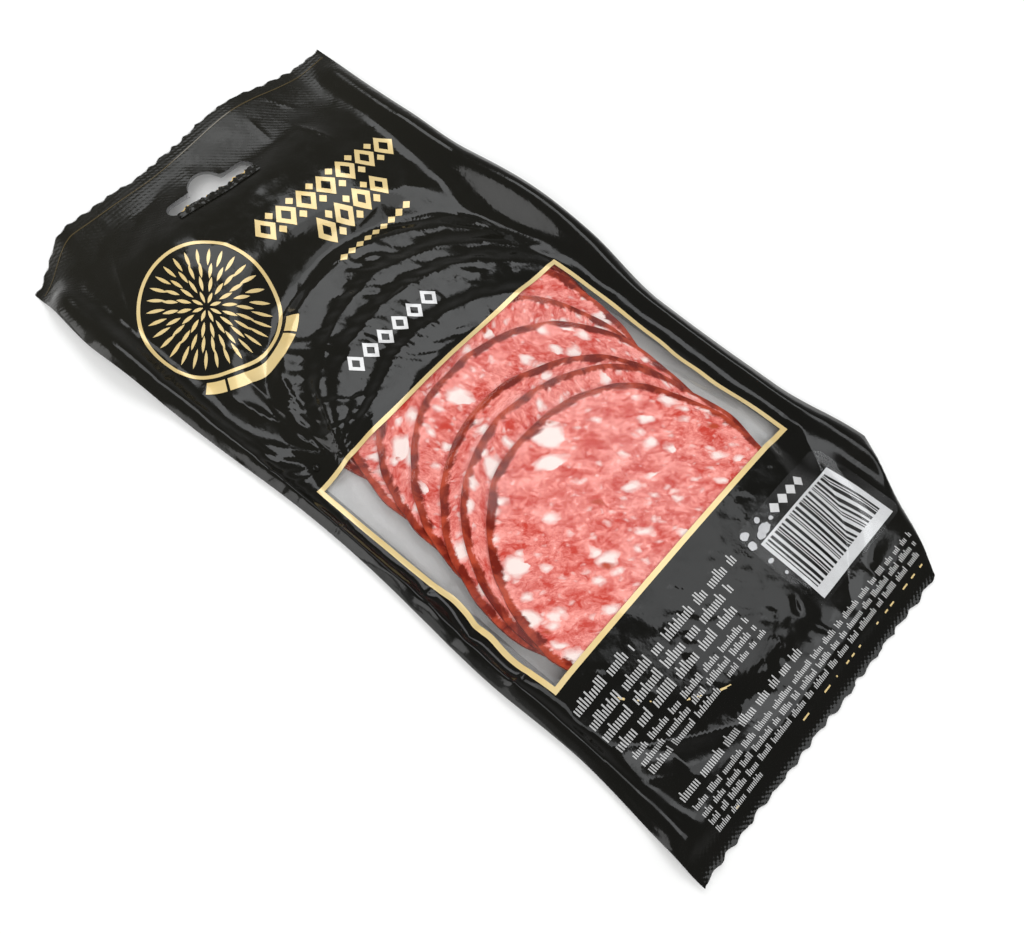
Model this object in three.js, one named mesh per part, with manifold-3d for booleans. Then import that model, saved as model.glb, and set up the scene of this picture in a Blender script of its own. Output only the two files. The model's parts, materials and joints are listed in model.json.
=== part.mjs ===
// A flat pack of sliced salami, sealed in film and lying on its back.
// Millimetres. +X runs across the pack as its front print reads, +Y along it
// towards the end with the hang hole, and +Z out of the printed front.
// The origin is under the middle of the pack, on the surface it lies on.

import * as THREE from 'three';
import { mergeVertices } from 'three/addons/utils/BufferGeometryUtils.js';
import Module from 'manifold-3d';

const wasm = await Module();
wasm.setup();

// ---- driving dimensions -------------------------------------------------

const WIDTH = 120;               // flat width of the pouch, fold to fold
const LENGTH = 248;              // cut end to cut end
const FILM = 0.8;                // front and back film lying together
const EDGE_LIFT = 1.6;           // the folded long edges stand this far off the table

const SLICE_PITCH = 1.6;         // height that each slice adds to the stack
const FILM_FALL = 4;             // distance in which the film falls past a slice's rim
const SLICES = [                 // bottom slice first: centre and radius
  { x: 3.5, y: 16.1, r: 44.2 },
  { x: 5.6, y: 3.7, r: 44.0 },
  { x: 3.4, y: -6.4, r: 44.6 },
  { x: 0.9, y: -19.6, r: 42.8 },
  { x: -0.2, y: -33.8, r: 43.4 },
  { x: -3.4, y: -48.6, r: 43.8 },
  { x: -2.7, y: -55.0, r: 43.3 },
  { x: -3.4, y: -62.2, r: 41.8 },
];

const LEFT_PULL_IN = { depth: 3.6, y: -10, spread: 45 };    // waist of the -X edge
const RIGHT_PULL_IN = { depth: 3, from: 10, to: -20 };      // narrower far half of the +X edge

const HANG_END = { from: 60, to: 85, lift: 2.5 };           // the empty end floats off the table
const HANG_ARCH = { x: -25, spread: 26, lift: 6 };          // and is arched along its -X half
const SEAL_ARCH = { x: 14, spread: 28, from: 104, to: 121, lift: 4.5 };  // its seal bows up too
const LEFT_WAVE = { from: -48, y: 76, spread: 16, lift: 3.5 };
const RIGHT_WAVE = { from: 46, y: 28, spread: 34, lift: 7 };
const FAR_END = { from: -104, to: -118, lift: 1.2 };
const GAS = 4.2;                 // the films stand apart between the slices and the seals
const GAS_HANG = { side: 58, middle: 28, seal: 116, full: 92 };
const GAS_FAR = { side: 60, middle: 40, seal: 118, full: 104 };

const DROOP = { reach: 20, shorten: 5 };                    // the curled corner at -X, +Y
const FOLD = { side: 36, end: 21, flap: 0.8, blend: 3 };    // the corner folded under at +X, -Y

const SCALLOP = { hang: 5, far: 6, depth: 1 };              // the cut ends' wavy edge
const SLOT = { x: -2.6, y: 101.6, width: 31.5, wing: 6.2, humpWidth: 12, hump: 6 };

const LABEL = { x: 28.9, y: -93.2, width: 37.6, length: 27.6, thick: 0.5, gap: 0.6 };

const COLUMNS = 44;              // quads across the front, an even number
const ROWS = 66;                 // quads along the front, an even number

// ---- shape of the pack --------------------------------------------------

const half = { x: WIDTH / 2, y: LENGTH / 2 };

function smooth(from, to, value) {
  const t = THREE.MathUtils.clamp((value - from) / (to - from), 0, 1);
  return t * t * (3 - 2 * t);
}

function bell(distance, spread) {
  return Math.exp(-((distance / spread) ** 2));
}

function leftEdge(y) {
  return -half.x + LEFT_PULL_IN.depth * bell(y - LEFT_PULL_IN.y, LEFT_PULL_IN.spread);
}

function rightEdge(y) {
  return half.x - RIGHT_PULL_IN.depth * smooth(RIGHT_PULL_IN.from, RIGHT_PULL_IN.to, y);
}

// 1 at the curled corner, falling to 0 at its reach.
function droop(x, y) {
  return smooth(DROOP.reach, 0, Math.hypot(x + half.x, y - half.y));
}

// Height of the slices and of the film that falls away round them.
function stackHeight(x, y) {
  let height = 0;
  for (const slice of SLICES) {
    const past = Math.max(0, Math.hypot(x - slice.x, y - slice.y) - slice.r);
    height += SLICE_PITCH * bell(past, FILM_FALL);
  }
  return height;
}

// How far the back film stands off the table.
function lift(x, y) {
  const ends = HANG_END.lift * smooth(HANG_END.from, HANG_END.to, y)
    + FAR_END.lift * smooth(FAR_END.from, FAR_END.to, y);
  const arch = HANG_ARCH.lift * bell(x - HANG_ARCH.x, HANG_ARCH.spread)
    * smooth(HANG_END.from, HANG_END.to, y)
    + SEAL_ARCH.lift * bell(x - SEAL_ARCH.x, SEAL_ARCH.spread) * smooth(SEAL_ARCH.from, SEAL_ARCH.to, y);
  const waves = LEFT_WAVE.lift * smooth(LEFT_WAVE.from, -half.x, x) * bell(y - LEFT_WAVE.y, LEFT_WAVE.spread)
    + RIGHT_WAVE.lift * smooth(RIGHT_WAVE.from, half.x, x) * bell(y - RIGHT_WAVE.y, RIGHT_WAVE.spread);
  const edges = EDGE_LIFT * smooth(RIGHT_WAVE.from, half.x, Math.abs(x));
  return (ends + arch + waves + edges) * (1 - droop(x, y));
}

// Gap between the two films where they hold gas but no slice.
function gas(x, y) {
  const end = y > 0 ? GAS_HANG : GAS_FAR;
  return GAS * smooth(end.side, end.middle, Math.abs(x)) * smooth(end.seal, end.full, Math.abs(y));
}

// Distance from the line that the corner is folded on, positive inside the pack.
function insideFold(x, y) {
  const across = new THREE.Vector2(-FOLD.side, FOLD.end).normalize();
  return (x - half.x) * across.x + (y + half.y - FOLD.side) * across.y;
}

// The folded corner lies under the pack and raises the front by its thickness.
function foldedUnder(x, y) {
  const inside = insideFold(x, y);
  const across = new THREE.Vector2(-FOLD.side, FOLD.end).normalize();
  const mirrored = { x: x - 2 * inside * across.x, y: y - 2 * inside * across.y };
  return FOLD.flap * smooth(0, FOLD.blend, half.x - mirrored.x) * smooth(0, FOLD.blend, mirrored.y + half.y);
}

function topHeight(x, y) {
  return lift(x, y) + FILM + foldedUnder(x, y) + Math.max(stackHeight(x, y), gas(x, y));
}

// Point of the pouch: u and v run from -1 to 1 across and along it.
function place(u, v, height) {
  const y = v * half.y;
  const x = THREE.MathUtils.mapLinear(u, -1, 1, leftEdge(y), rightEdge(y));
  return new THREE.Vector3(x, y - DROOP.shorten * droop(x, y), height(x, y));
}

// ---- solids -------------------------------------------------------------

// A closed solid between two height fields. The underside has half the
// front's rows and columns, and each of its edges meets two of the front's.
function drapedSolid(columns, rows, point, top, bottom) {
  const positions = [];
  const triangles = [];
  const grid = (nx, ny, height) => {
    const start = positions.length / 3;
    for (let j = 0; j <= ny; j++) {
      for (let i = 0; i <= nx; i++) {
        positions.push(...point((2 * i) / nx - 1, (2 * j) / ny - 1, height).toArray());
      }
    }
    return (i, j) => start + j * (nx + 1) + i;
  };
  const front = grid(columns, rows, top);
  const back = grid(columns / 2, rows / 2, bottom);
  for (let j = 0; j < rows; j++) {
    for (let i = 0; i < columns; i++) {
      triangles.push(front(i, j), front(i + 1, j), front(i + 1, j + 1));
      triangles.push(front(i, j), front(i + 1, j + 1), front(i, j + 1));
    }
  }
  for (let j = 0; j < rows / 2; j++) {
    for (let i = 0; i < columns / 2; i++) {
      triangles.push(back(i, j), back(i + 1, j + 1), back(i + 1, j));
      triangles.push(back(i, j), back(i, j + 1), back(i + 1, j + 1));
    }
  }
  const wall = (count, over, under) => {
    for (let k = 0; k < count; k++) {
      triangles.push(under(k), under(k + 1), over(2 * k + 1));
      triangles.push(under(k), over(2 * k + 1), over(2 * k));
      triangles.push(under(k + 1), over(2 * k + 2), over(2 * k + 1));
    }
  };
  wall(columns / 2, (k) => front(k, 0), (k) => back(k, 0));
  wall(rows / 2, (k) => front(columns, k), (k) => back(columns / 2, k));
  wall(columns / 2, (k) => front(columns - k, rows), (k) => back(columns / 2 - k, rows / 2));
  wall(rows / 2, (k) => front(0, rows - k), (k) => back(0, rows / 2 - k));
  const geometry = new THREE.BufferGeometry();
  geometry.setAttribute('position', new THREE.Float32BufferAttribute(positions, 3));
  geometry.setIndex(triangles);
  return geometry;
}

// An upright prism through the pack, for cutting it.
function cutter(shape) {
  const tall = SLICES.length * SLICE_PITCH + HANG_ARCH.lift + RIGHT_WAVE.lift;
  return new THREE.ExtrudeGeometry(shape, { depth: 2 * tall, bevelEnabled: false, curveSegments: 8 })
    .translate(0, 0, -tall);
}

// What a wavy blade takes off an end: side is 1 at +Y and -1 at -Y.
function scallopShape(side, pitch) {
  const beyond = 2 * pitch;
  const reach = WIDTH / 2 + pitch;
  const count = Math.round((2 * reach) / pitch);
  const edge = side * half.y;
  const shape = new THREE.Shape().moveTo(-reach, edge + side * beyond).lineTo(-reach, edge);
  for (let k = 0; k < count; k++) {
    const x = -reach + k * pitch;
    shape.quadraticCurveTo(x + pitch / 2, edge - side * 2 * SCALLOP.depth, x + pitch, edge);
  }
  return shape.lineTo(-reach + count * pitch, edge + side * beyond);
}

// Hang hole: a bar with round ends and a round hump towards the near end.
function slotShape() {
  const r = SLOT.wing / 2;
  const left = SLOT.x - SLOT.width / 2;
  const right = SLOT.x + SLOT.width / 2;
  const hump = SLOT.humpWidth / 2;
  const top = SLOT.y + SLOT.wing;
  return new THREE.Shape()
    .moveTo(left + r, SLOT.y)
    .lineTo(right - r, SLOT.y)
    .absarc(right - r, SLOT.y + r, r, -Math.PI / 2, Math.PI / 2, false)
    .lineTo(SLOT.x + hump, top)
    .bezierCurveTo(SLOT.x + hump, top + SLOT.hump, SLOT.x - hump, top + SLOT.hump, SLOT.x - hump, top)
    .lineTo(left + r, top)
    .absarc(left + r, SLOT.y + r, r, Math.PI / 2, (3 * Math.PI) / 2, false);
}

// The triangle that is missing where the corner is folded under.
function foldShape() {
  const beyond = FOLD.blend;
  const along = new THREE.Vector2(-FOLD.end, -FOLD.side).normalize().multiplyScalar(beyond);
  return new THREE.Shape()
    .moveTo(half.x - along.x, -half.y + FOLD.side - along.y)
    .lineTo(half.x - FOLD.end + along.x, -half.y + along.y)
    .lineTo(half.x + beyond, -half.y + along.y);
}

function toManifold(geometry) {
  const bare = geometry.clone();
  bare.deleteAttribute('normal');
  bare.deleteAttribute('uv');
  const merged = mergeVertices(bare, 1e-5);
  return new wasm.Manifold(new wasm.Mesh({
    numProp: 3,
    vertProperties: new Float32Array(merged.attributes.position.array),
    triVerts: new Uint32Array(merged.index.array),
  }));
}

function toGeometry(solid) {
  const mesh = solid.getMesh();
  const geometry = new THREE.BufferGeometry();
  geometry.setAttribute('position', new THREE.BufferAttribute(mesh.vertProperties, 3));
  geometry.setIndex(new THREE.BufferAttribute(mesh.triVerts, 1));
  geometry.computeVertexNormals();
  return geometry;
}

// ---- pack: the sealed pouch with its slices, one solid ------------------

function packGeometry() {
  const pouch = drapedSolid(COLUMNS, ROWS, place, topHeight, lift);
  const cuts = [
    scallopShape(1, SCALLOP.hang),
    scallopShape(-1, SCALLOP.far),
    slotShape(),
    foldShape(),
  ];
  let solid = toManifold(pouch);
  for (const cut of cuts) solid = solid.subtract(toManifold(cutter(cut)));
  return toGeometry(solid);
}

// ---- label: the clear sticker on the front ------------------------------

function labelGeometry() {
  const sides = { x: LABEL.width / 2, y: LABEL.length / 2 };
  const point = (u, v, height) => {
    const x = LABEL.x + u * sides.x;
    const y = LABEL.y + v * sides.y;
    return new THREE.Vector3(x, y, height(x, y));
  };
  const top = (x, y) => topHeight(x, y) + LABEL.gap + LABEL.thick;
  const bottom = (x, y) => topHeight(x, y) + LABEL.gap;
  return drapedSolid(14, 12, point, top, bottom);
}

// ---- the model ----------------------------------------------------------

function named(name, geometry, material) {
  const mesh = new THREE.Mesh(geometry, material);
  mesh.name = name;
  return mesh;
}

const blackFilm = new THREE.MeshStandardMaterial({ color: 0x1a1918, roughness: 0.3, metalness: 0 });
const clearSticker = new THREE.MeshStandardMaterial({ color: 0xb9bab8, roughness: 0.25, metalness: 0 });

const model = new THREE.Group();
model.add(named('pack', packGeometry(), blackFilm));
model.add(named('label', labelGeometry(), clearSticker));

export default model;
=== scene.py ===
"""A flat sealed film pack of shingled salami slices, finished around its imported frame.

Lengths are millimetres in the pack's own frame: +X across the front print as it reads, +Y towards
the end with the hang hole, +Z out of the front. MM turns them to Blender's metres.
"""

import json
import math

import bpy
import numpy as np
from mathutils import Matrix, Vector

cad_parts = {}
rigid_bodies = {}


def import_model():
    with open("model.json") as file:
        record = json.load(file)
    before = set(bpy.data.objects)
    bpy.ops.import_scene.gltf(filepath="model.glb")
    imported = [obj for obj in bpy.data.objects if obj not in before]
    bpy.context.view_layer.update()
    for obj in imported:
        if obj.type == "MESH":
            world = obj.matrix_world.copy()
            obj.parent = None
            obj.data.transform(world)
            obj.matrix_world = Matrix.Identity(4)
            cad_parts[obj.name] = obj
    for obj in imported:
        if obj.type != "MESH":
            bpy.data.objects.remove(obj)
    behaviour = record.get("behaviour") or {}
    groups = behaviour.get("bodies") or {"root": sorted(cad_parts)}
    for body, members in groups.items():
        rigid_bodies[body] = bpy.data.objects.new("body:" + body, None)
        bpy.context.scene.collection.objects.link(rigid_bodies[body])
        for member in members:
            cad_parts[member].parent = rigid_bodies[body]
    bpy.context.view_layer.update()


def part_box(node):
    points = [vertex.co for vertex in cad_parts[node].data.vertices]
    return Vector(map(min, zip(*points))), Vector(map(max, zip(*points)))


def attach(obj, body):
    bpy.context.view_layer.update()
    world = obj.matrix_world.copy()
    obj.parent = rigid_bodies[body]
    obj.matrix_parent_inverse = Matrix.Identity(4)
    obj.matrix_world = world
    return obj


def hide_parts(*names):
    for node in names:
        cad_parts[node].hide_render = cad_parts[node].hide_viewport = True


bl_info = {
    "name": "Sliced salami pack",
    "version": (1, 0, 0),
    "blender": (4, 5, 0),
    "location": "3D View > Sidebar > Salami pack",
    "description": "Builds a printed film pack of sliced salami around its frame",
    "category": "Object",
}

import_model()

MM = 0.001
BODY = "root"
PACK_NODE = "pack"
LABEL_NODE = "label"
HALF_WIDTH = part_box(PACK_NODE)[1].x / MM
HALF_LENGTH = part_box(PACK_NODE)[1].y / MM


# ---- sizes and colours that a user would change -------------------------------------------------


class PackSizes(bpy.types.PropertyGroup):
    film: bpy.props.FloatProperty(
        name="Film thickness", description="Thickness of each film", default=0.1 * MM, unit="LENGTH"
    )
    ink: bpy.props.FloatProperty(
        name="Ink thickness", description="Thickness of the printed marks", default=0.03 * MM,
        unit="LENGTH",
    )
    front_step: bpy.props.FloatProperty(
        name="Front mesh step", description="Grid step of the front film", default=0.72 * MM,
        unit="LENGTH",
    )
    back_step: bpy.props.FloatProperty(
        name="Back mesh step", description="Grid step of the back film", default=1.5 * MM, unit="LENGTH"
    )
    slice_thickness: bpy.props.FloatProperty(
        name="Slice thickness", description="Thickness of a salami slice", default=1.4 * MM, unit="LENGTH"
    )
    frame_line: bpy.props.FloatProperty(
        name="Frame line", description="Width of the gold line", default=1.45 * MM, unit="LENGTH"
    )
    text_ticks: bpy.props.IntProperty(
        name="Small print seed", description="Seed of the broken lines of small print", default=7, min=0
    )


class PackColours(bpy.types.PropertyGroup):
    black_ink: bpy.props.StringProperty(name="Black ink", description="sRGB hex", default="#0D0D0C")
    # Painted light: a lighter, olive black that the film turns to towards the hang end, standing in for
    # soft light on the film.
    glow_black_ink: bpy.props.StringProperty(name="Thin black ink", description="sRGB hex", default="#1F1E19")
    gold_ink: bpy.props.StringProperty(name="Gold ink", description="sRGB hex", default="#F6E1AC")
    # Painted shade: a darker, shaded copy of the gold ink.
    gold_shade: bpy.props.StringProperty(name="Gold shade", description="sRGB hex", default="#EBCA80")
    dull_gold: bpy.props.StringProperty(name="Seal line", description="sRGB hex", default="#4C4128")
    white_ink: bpy.props.StringProperty(name="White ink", description="sRGB hex", default="#DADADA")
    grey_ink: bpy.props.StringProperty(name="Small print", description="sRGB hex", default="#B4B4B3")
    air: bpy.props.StringProperty(name="Air spots", description="sRGB hex", default="#C4C5C7")
    panel_ink: bpy.props.StringProperty(name="Bar panel", description="sRGB hex", default="#DCDDDE")
    lean: bpy.props.StringProperty(name="Lean meat", description="sRGB hex", default="#CE4539")
    pale_lean: bpy.props.StringProperty(name="Pale meat", description="sRGB hex", default="#FFA89E")
    fat: bpy.props.StringProperty(name="Fat", description="sRGB hex", default="#FDEAE4")
    casing: bpy.props.StringProperty(name="Dried rim", description="sRGB hex", default="#761E11")
    red_casing: bpy.props.StringProperty(name="Red of the rim", description="sRGB hex", default="#BC4B31")
    floor: bpy.props.StringProperty(name="Studio floor", description="sRGB hex", default="#F4F4F3")


class StudioLight(bpy.types.PropertyGroup):
    softbox: bpy.props.FloatProperty(
        name="Softbox", description="Power of the main overhead softbox in watts", default=1.53, min=0.0
    )
    far_softbox: bpy.props.FloatProperty(
        name="Far softbox", description="Power of the dimmer overhead softbox in watts", default=0.49,
        min=0.0,
    )
    room: bpy.props.FloatProperty(
        name="Room", description="Radiance of the room's soft light, not seen in gloss", default=0.5,
        min=0.0,
    )
    side: bpy.props.FloatProperty(
        name="Side softbox", description="Power of the low side softbox in watts", default=1.2, min=0.0
    )
    sun: bpy.props.FloatProperty(
        name="Fill", description="Irradiance of the broad fill light", default=1.72, min=0.0
    )
    horizon: bpy.props.FloatProperty(
        name="Horizon", description="Radiance of the studio wall near the floor", default=0.3, min=0.0
    )
    ceiling: bpy.props.FloatProperty(
        name="Ceiling", description="Radiance of the dark ceiling", default=0.06, min=0.0
    )


def sizes():
    return bpy.context.scene.salami_pack_sizes


def colours():
    return bpy.context.scene.salami_pack_colours


def studio():
    return bpy.context.scene.salami_pack_light


# ---- the pouch's shape --------------------------------------------------------------------------

# Slices, bottom one first: centre x and y, and radius.
SLICES = [
    (3.5, 16.1, 44.2),
    (5.6, 3.7, 44.0),
    (3.4, -6.4, 44.6),
    (0.9, -19.6, 42.8),
    (-0.2, -33.8, 43.4),
    (-3.4, -48.6, 43.8),
    (-2.7, -55.0, 43.3),
    (-3.4, -62.2, 41.8),
]
# Height that each slice adds under the film and under the meat, and how far out either falls past a bare
# rim. BRIDGE is how far out the film falls past a covered rim.
SLICE_PITCH = 1.6
MEAT_PITCH = 1.55
FILM_FALL = 3.8
MEAT_FALL = 2.4
BRIDGE = 17
# Height of each printed layer over the front film.
OVER_FILM = {"ink": 0.14, "seal line": 0.1, "panel": 0.16, "bars": 0.22, "air": 0.3, "sticker": 0.45}
# Height of the film over trapped gas, and its gap over the slices.
GAS_HEIGHT = 4.2
GAP = 0.35
# The line along which the far right corner is folded under.
FOLD_HIGH = (HALF_WIDTH, -88.0)
FOLD_LOW = (39.0, -HALF_LENGTH)
# How far in from a side the films have rounded into each other.
SIDE_ROUND = 2.2

WINDOW = {"left": -50.0, "right": 47.5, "low": -71.1, "high": 12.5}
SLOT = {"x": -2.6, "low": 101.6, "width": 31.5, "wing": 6.2, "hump_radius": 6.2, "hump_y": 106.0}

# Bumps along the pouch: middle, half width and height of each. The left side and the gold lines beside
# the window run in and out along y, and the hang end's cut and height along x.
LEFT_SIDE_PULL = ((-10, 45, 3.6), (20, 30, 0.9), (-84, 22, 2.2), (88, 18, -1.8), (-124, 14, -1.2))
LEFT_LINE_PULL = ((-36, 4, 0.5), (-45.5, 3, -0.8), (-58, 9, -1.5))
RIGHT_LINE_PULL = ((-29, 4, 0.45), (-42, 4, 0.4), (-36, 19, -1.9))
HANG_END_WAVES = ((-48, 14, 2.4), (22, 20, 2.4), (-14, 10, -0.9))
HANG_END_ARCHES = ((-48, 14, 2.2), (24, 16, 1.6))

# Straight creases: start, end, width and height. A minus height is a groove.
CREASES = [
    ((-46.9, 53.9), (-40.0, 26.0), 0.9, 0.55),
    ((-38.3, 55.0), (-40.3, 27.0), 1.2, 0.6),
    ((-31.0, 49.0), (-36.0, 32.0), 0.8, 0.5),
    ((-27.0, 38.0), (-38.2, 15.0), 1.1, 0.7),
    ((-41.5, 31.0), (-38.5, 13.5), 0.7, -0.6),
    ((-55.3, 63.3), (-49.6, 20.0), 0.8, 0.35),
    ((-37.2, 109.0), (-51.5, 79.5), 0.9, 0.5),
    ((-49.1, 78.5), (-30.0, 54.0), 0.7, 0.35),
    ((-56.5, 66.5), (-46.0, 68.5), 0.8, -0.5),
    ((32.0, 109.5), (36.6, 92.0), 0.9, 0.5),
    ((32.0, 120.0), (38.5, 111.0), 0.8, 0.4),
    ((23.4, 117.0), (23.5, 106.5), 0.8, 0.35),
    ((53.6, 70.0), (47.0, 45.0), 0.9, 0.3),
    ((-18.8, 82.4), (6.0, 86.0), 1.0, 0.45),
    ((38.0, 48.0), (46.5, 33.5), 0.6, -0.55),
    ((42.8, 50.0), (46.2, 34.0), 0.6, 0.4),
    ((30.0, 58.5), (42.0, 49.0), 0.7, 0.5),
    ((16.0, 65.5), (29.0, 66.5), 0.7, 0.5),
    ((38.5, -76.0), (35.5, -86.0), 0.9, 0.6),
    ((47.5, -77.0), (48.2, -98.0), 0.8, 0.3),
    ((8.7, -99.5), (5.0, -104.0), 0.8, -0.6),
    ((5.0, -103.8), (7.6, -114.0), 0.9, 0.55),
    ((-52.7, -98.7), (-41.0, -110.0), 0.9, 0.6),
    ((-43.6, -108.0), (-41.0, -97.0), 1.0, 0.4),
    ((28.5, -106.0), (26.8, -114.0), 0.8, 0.5),
    ((-56.0, -10.0), (-52.4, -29.5), 1.8, 0.8),
    ((-52.6, -28.5), (-56.5, -43.0), 1.8, 0.9),
    ((-52.5, -29.5), (-44.5, -33.0), 1.9, 1.2),
    ((-53.5, -45.0), (-44.6, -48.8), 1.3, 1.4),
    ((-58.0, -61.0), (-44.0, -64.0), 1.0, 1.0),
]


def smooth(start, end, value):
    """0 at start, 1 at end, with level ends."""
    t = np.clip((np.asarray(value, float) - start) / (end - start), 0, 1)
    return t * t * (3 - 2 * t)


def bell(distance, width):
    return np.exp(-((np.asarray(distance, float) / width) ** 2))


def bells(at, bumps):
    """Sum of bumps along a line: the middle, half width and height of each."""
    return sum(height * bell(at - middle, width) for middle, width, height in bumps)


def ripple(x, y, size, seed):
    """Smooth uneven waves from -1 to 1, about size across."""
    table = np.random.default_rng(seed).uniform(-1, 1, (64, 64))
    turn = 0.6 + 1.7 * seed
    u = (x * math.cos(turn) - y * math.sin(turn)) / size + 500
    v = (x * math.sin(turn) + y * math.cos(turn)) / size + 500
    column = np.floor(u).astype(int)
    row = np.floor(v).astype(int)
    across = smooth(0, 1, u - column)
    along = smooth(0, 1, v - row)
    corner = [[table[(column + i) % 64, (row + j) % 64] for j in (0, 1)] for i in (0, 1)]
    low = corner[0][0] * (1 - across) + corner[1][0] * across
    high = corner[0][1] * (1 - across) + corner[1][1] * across
    return low * (1 - along) + high * along


def crease(x, y, start, end, width, height):
    """A fold along a straight line, sharp at its top and fading at both ends."""
    run = (end[0] - start[0], end[1] - start[1])
    length = math.hypot(*run)
    along = ((x - start[0]) * run[0] + (y - start[1]) * run[1]) / length**2
    across = ((x - start[0]) * run[1] - (y - start[1]) * run[0]) / length
    fade = smooth(-0.08, 0.3, along) * smooth(1.08, 0.75, along)
    return height * fade * np.exp(-np.sqrt(across**2 + 0.09) / width)


def beyond(x, y, which=range(len(SLICES))):
    """Distance outside the outline of the slices, minus inside it."""
    return np.min([np.hypot(x - SLICES[k][0], y - SLICES[k][1]) - SLICES[k][2] for k in which], axis=0)


def squeeze(x, y):
    """How far the film pushes the slices in on their right side."""
    return 3.3 * smooth(26, 47, x) * smooth(16, -6, y) * (1 - 0.6 * smooth(-42, -60, y))


def stack(x, y, count, fall, pitch=SLICE_PITCH):
    """Height of the lowest slices. It falls past a bare rim, and slopes gently past a covered one."""
    height = np.zeros_like(x, dtype=float)
    x = x + squeeze(x + 2.5, y)
    for order, (centre_x, centre_y, radius) in enumerate(SLICES[:count]):
        reach = np.hypot(x - centre_x, y - centre_y)
        covered = smooth(0.1, -0.5, (y - centre_y) / np.maximum(reach, 1))
        if order == len(SLICES) - 1:
            covered = 0
        outside = np.maximum(0, reach - radius)
        height = height + pitch * bell(outside, fall + (BRIDGE - fall) * covered)
    return height


def droop(x, y):
    """1 at the hang end's left corner, which hangs down, and 0 away from it."""
    return smooth(20, 0, np.hypot(x + HALF_WIDTH, y - HALF_LENGTH))


def lift(x, y):
    """Height of the back film over the surface that the pack lies on."""
    ends = 2.5 * smooth(60, 85, y) + 1.9 * smooth(-104, -117, y) - 1.7 * smooth(-116.5, -124, y)
    arches = 6 * bell(x + 25, 26) * smooth(60, 85, y) + 4.5 * bell(x - 14, 28) * smooth(104, 121, y)
    arches = arches + bells(x, HANG_END_ARCHES) * smooth(104, HALF_LENGTH, y)
    waves = 3.5 * smooth(-48, -60, x) * bell(y - 76, 16) + 7 * smooth(46, 60, x) * bell(y - 28, 34)
    edges = 1.6 * smooth(46, 60, np.abs(x))
    return (ends + arches + waves + edges) * (1 - droop(x, y))


def gas(x, y):
    """Height of the film held up by trapped gas, beyond the slices."""
    hang = (1 - smooth(28, 58, np.abs(x))) * smooth(118, 92, y)
    far = (1 - smooth(40, 60, np.abs(x))) * smooth(-119.5, -104, y)
    return GAS_HEIGHT * np.where(y > 0, hang, far) * smooth(4.5, 17, beyond(x, y))


def inside_fold(x, y):
    """Distance from the line along which the far right corner is folded under."""
    run = (FOLD_LOW[0] - FOLD_HIGH[0], FOLD_LOW[1] - FOLD_HIGH[1])
    length = math.hypot(*run)
    return ((x - FOLD_HIGH[0]) * run[1] - (y - FOLD_HIGH[1]) * run[0]) / length


def wrinkles(x, y):
    """Folds, puckers and fine unevenness of the front film."""
    outside = beyond(x, y)
    over_meat = smooth(4, -1, outside)
    window = smooth(-52, -48, x) * smooth(50, 46, x) * smooth(-74, -70, y) * smooth(15, 11, y)
    sealed = smooth(122, 118, y) * smooth(-121, -118, y)
    plain_side = smooth(38, 52, x) * smooth(-75, -60, y)
    angle = np.arctan2(y - 5, x - 3)
    reach = np.hypot(x - 3, y - 5)
    near_left = smooth(1.2, 2.1, angle) * smooth(0, 8, y) * smooth(20, 34, reach)

    broad = 0.55 * ripple(x, y, 19, 1) * (1 - over_meat) + 0.28 * ripple(x, y, 11, 2)
    medium = 0.13 * ripple(x + 2 * broad, y, 4.6, 3)
    fine = 0.012 * ripple(x, y, 1.9, 4)
    pucker = 0.3 * ripple(angle * 44, reach * 0.32, 2.9, 5) * near_left * over_meat
    pucker = pucker + 0.14 * ripple(angle * 46, reach * 0.7, 3.2, 12) * over_meat * smooth(14, 24, y)
    streaks = ripple(0.24 * x - 0.26 * y, 0.75 * x + 0.66 * y, 1.6, 13)
    streaks = streaks * smooth(-0.5, 0.4, ripple(x, y, 9, 14))
    printed = smooth(12, 18, y) + 0.9 * smooth(-71, -76, y)
    pucker = pucker + 0.16 * streaks * over_meat * printed
    far_rim = bell(beyond(x, y, [7]) - 1.0, 5.0) * smooth(-66, -80, y)
    crumple = 0.5 * ripple(x, y, 6.5, 6) * far_rim + 0.24 * ripple(x, y, 2.6, 8) * far_rim
    near_rim = bell(beyond(x, y, [0]) - 6.0, 4.0) * smooth(30, 45, y)
    crumple = crumple + 0.3 * ripple(angle * 40, reach * 0.5, 3.6, 9) * near_rim
    corner_gather = 0.35 * ripple(np.arctan2(y - 14, x + 39) * 22, np.zeros_like(x), 2.7, 10)
    corner_gather = corner_gather * bell(np.hypot(x + 39, y - 14) - 16, 13) * smooth(8, 16, y)
    side_pleats = 0.4 * ripple(x * 0.25, y, 5.5, 11) * smooth(-46, -54, x) * smooth(0, -22, y)

    total = broad * (1 - 0.75 * plain_side) + medium * (1 - 0.8 * plain_side) + fine
    total = total + pucker + crumple + corner_gather + side_pleats
    label = smooth(6, 11, x) * smooth(-112, -107, y) * smooth(-73, -78, y)
    folds = np.zeros_like(total)
    for start, end, width, height in CREASES:
        folds = folds + crease(x, y, start, end, width, height)
    total = total * (1 - 0.85 * label) + folds * (1 - 0.9 * label)
    return total * sealed * (1 - 0.5 * window)


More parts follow.
